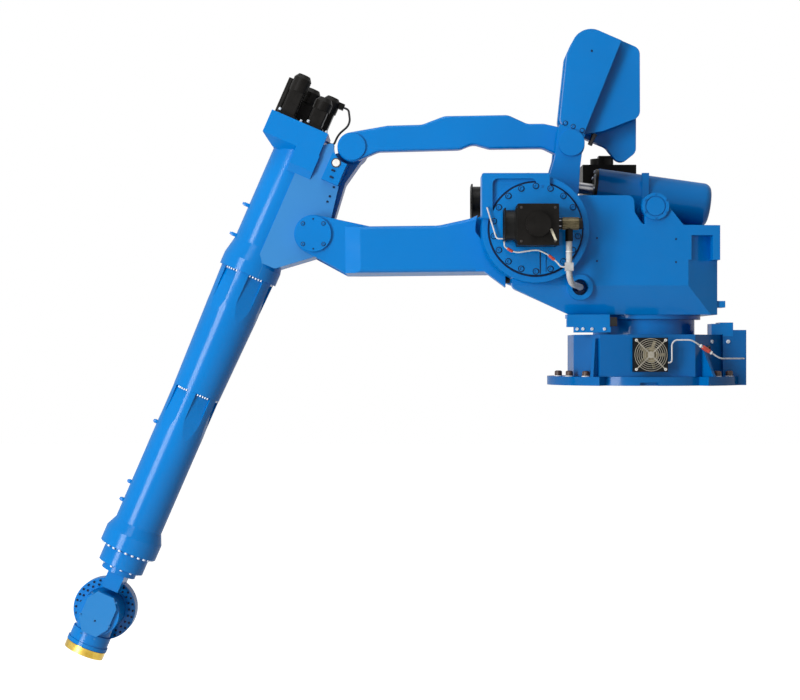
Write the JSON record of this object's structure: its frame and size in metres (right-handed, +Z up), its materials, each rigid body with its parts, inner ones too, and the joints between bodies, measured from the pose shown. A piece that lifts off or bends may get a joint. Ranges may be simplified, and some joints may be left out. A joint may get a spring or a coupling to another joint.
{
  "type": "industrial robot arm",
  "caption": "Shelf-mounted articulated robot arm: slewing base, forked lower arm, counterweighted link lever, long tubular forearm and bending wrist with tool flange.",
  "frame": {"origin": "centre of the mounting face, on the slewing axis", "axes": "+Z up from the mounting face, the arm points to -X in the rest pose, -Y is the near side in the picture"},
  "size_m": [3.1442, 1.1705, 2.9067],
  "materials": {
    "paint": "semi-gloss blue enamel",
    "motor_black": "satin black",
    "fan_frame": "satin black",
    "fan_rotor": "matt",
    "steel": "ground",
    "chromate": "yellow chromate",
    "bumper": "matt",
    "fittings": "matt",
    "lead": "matt black sheath",
    "conduit": "light grey sheath"
  },
  "bodies": {
    "base": {"base_plate": "paint", "base_body": "paint", "slew_ring": "paint", "connector_box": "paint", "connector_glands": "fittings", "base_fan_frame": "fan_frame", "base_fan_guard": "fan_frame", "base_fan_lead": "lead"},
    "base_fan": {"base_fan_rotor": "fan_rotor"},
    "swivel": {"swivel_casting": "paint", "shoulder_shaft": "steel", "near_motor_plate": "paint", "near_motor": "motor_black", "near_fan_frame": "fan_frame", "far_cover": "paint", "far_motor": "motor_black", "far_fan_frame": "fan_frame", "slew_motor": "motor_black", "stop_bracket": "paint", "conduit": "conduit", "near_fan_lead": "lead", "ear_lead": "lead", "stop_block": "bumper"},
    "near_fan": {"near_fan_rotor": "fan_rotor"},
    "far_fan": {"far_fan_rotor": "fan_rotor"},
    "lower_arm": {"lower_arm": "paint", "elbow_covers": "paint", "stop_bumper": "bumper"},
    "elbow_pin": {"elbow_pin": "steel"},
    "lever": {"lever": "paint", "counterweight_near": "paint", "counterweight_middle": "paint", "counterweight_far": "paint"},
    "link_pin": {"link_pin": "steel"},
    "link": {"link_rod": "paint"},
    "forearm": {"forearm_casting": "paint", "forearm_panel": "paint", "forearm_mid": "paint", "forearm_low": "paint", "wrist_motor_1": "motor_black", "wrist_motor_2": "motor_black", "wrist_motor_3": "motor_black", "wrist_motor_lead": "lead", "wrist_motor_4": "motor_black"},
    "wrist_roll": {"wrist_housing": "paint"},
    "wrist_bend": {"wrist_block": "paint", "wrist_cover": "paint", "tool_unit": "paint"},
    "tool": {"tool_flange": "chromate"},
    "balancer": {"balancer_cylinder": "paint"},
    "balancer_rod": {"balancer_rod": "steel"}
  },
  "joints": [
    {"name": "s_axis", "type": "hinge", "parent": "base", "child": "swivel", "pos_m": [0, 0, 0.3], "axis": [0, 0, 1], "range_deg": [-90, 75]},
    {"name": "l_axis", "type": "hinge", "parent": "swivel", "child": "lower_arm", "pos_m": [-0.53, 0, 0.7], "axis": [0, 1, 0], "range_deg": [0, 55]},
    {"name": "u_axis", "type": "hinge", "parent": "swivel", "child": "lever", "pos_m": [-0.53, 0, 0.7], "axis": [0, 1, 0], "range_deg": [-45, 18]},
    {"name": "elbow_pin_turn", "type": "hinge", "parent": "lower_arm", "child": "elbow_pin", "pos_m": [-1.52995, 0, 0.68953], "axis": [0, 1, 0], "range_deg": [-55.5, 0.5]},
    {"name": "elbow_turn", "type": "hinge", "parent": "elbow_pin", "child": "forearm", "pos_m": [-1.52995, 0, 0.68953], "axis": [0, 1, 0], "range_deg": [-45.5, 18.5]},
    {"name": "link_pin_turn", "type": "hinge", "parent": "lever", "child": "link_pin", "pos_m": [-0.35455, 0, 1.10351], "axis": [0, 1, 0], "range_deg": [-18.5, 45.5]},
    {"name": "link_turn", "type": "hinge", "parent": "link_pin", "child": "link", "pos_m": [-0.35455, 0, 1.10351], "axis": [0, 1, 0], "range_deg": [-0.5, 55.5]},
    {"name": "r_axis", "type": "hinge", "parent": "forearm", "child": "wrist_roll", "pos_m": [-2.52736, 0, -1.05767], "axis": [0.3987, 0, 0.9171], "range_deg": [-180, 180]},
    {"name": "b_axis", "type": "hinge", "parent": "wrist_roll", "child": "wrist_bend", "pos_m": [-2.52736, 0, -1.05767], "axis": [0, 1, 0], "range_deg": [-110, 110]},
    {"name": "t_axis", "type": "hinge", "parent": "wrist_bend", "child": "tool", "pos_m": [-2.60911, 0, -1.24566], "axis": [0.3987, 0, 0.9171], "range_deg": [-180, 180]},
    {"name": "balancer_tilt", "type": "hinge", "parent": "swivel", "child": "balancer", "pos_m": [0.012, 0, 0.805], "axis": [0, 1, 0], "range_deg": [-15, 0.5]},
    {"name": "balancer_rod_slide", "type": "slide", "parent": "balancer", "child": "balancer_rod", "axis": [0.9903, 0, -0.1392], "range_m": [-0.002, 0.245]},
    {"name": "base_fan_spin", "type": "hinge", "parent": "base", "child": "base_fan", "pos_m": [-0.017, -0.37, 0.139], "axis": [0, 1, 0], "continuous": true},
    {"name": "near_fan_spin", "type": "hinge", "parent": "swivel", "child": "near_fan", "pos_m": [-0.65, -0.4835, 0.71], "axis": [1, 0, 0], "continuous": true},
    {"name": "far_fan_spin", "type": "hinge", "parent": "swivel", "child": "far_fan", "pos_m": [-0.76, 0.475, 0.882], "axis": [1, 0, 0], "continuous": true}
  ],
  "couplings": [
    {"joint": "elbow_pin_turn", "follows": "l_axis", "ratio": -1},
    {"joint": "elbow_turn", "follows": "u_axis", "ratio": 1},
    {"joint": "link_pin_turn", "follows": "u_axis", "ratio": -1},
    {"joint": "link_turn", "follows": "l_axis", "ratio": 1},
    {"joint": "balancer_tilt", "follows": "l_axis", "ratio": -0.1725},
    {"joint": "balancer_rod_slide", "follows": "l_axis", "m_per_rad": 0.2475}
  ]
}
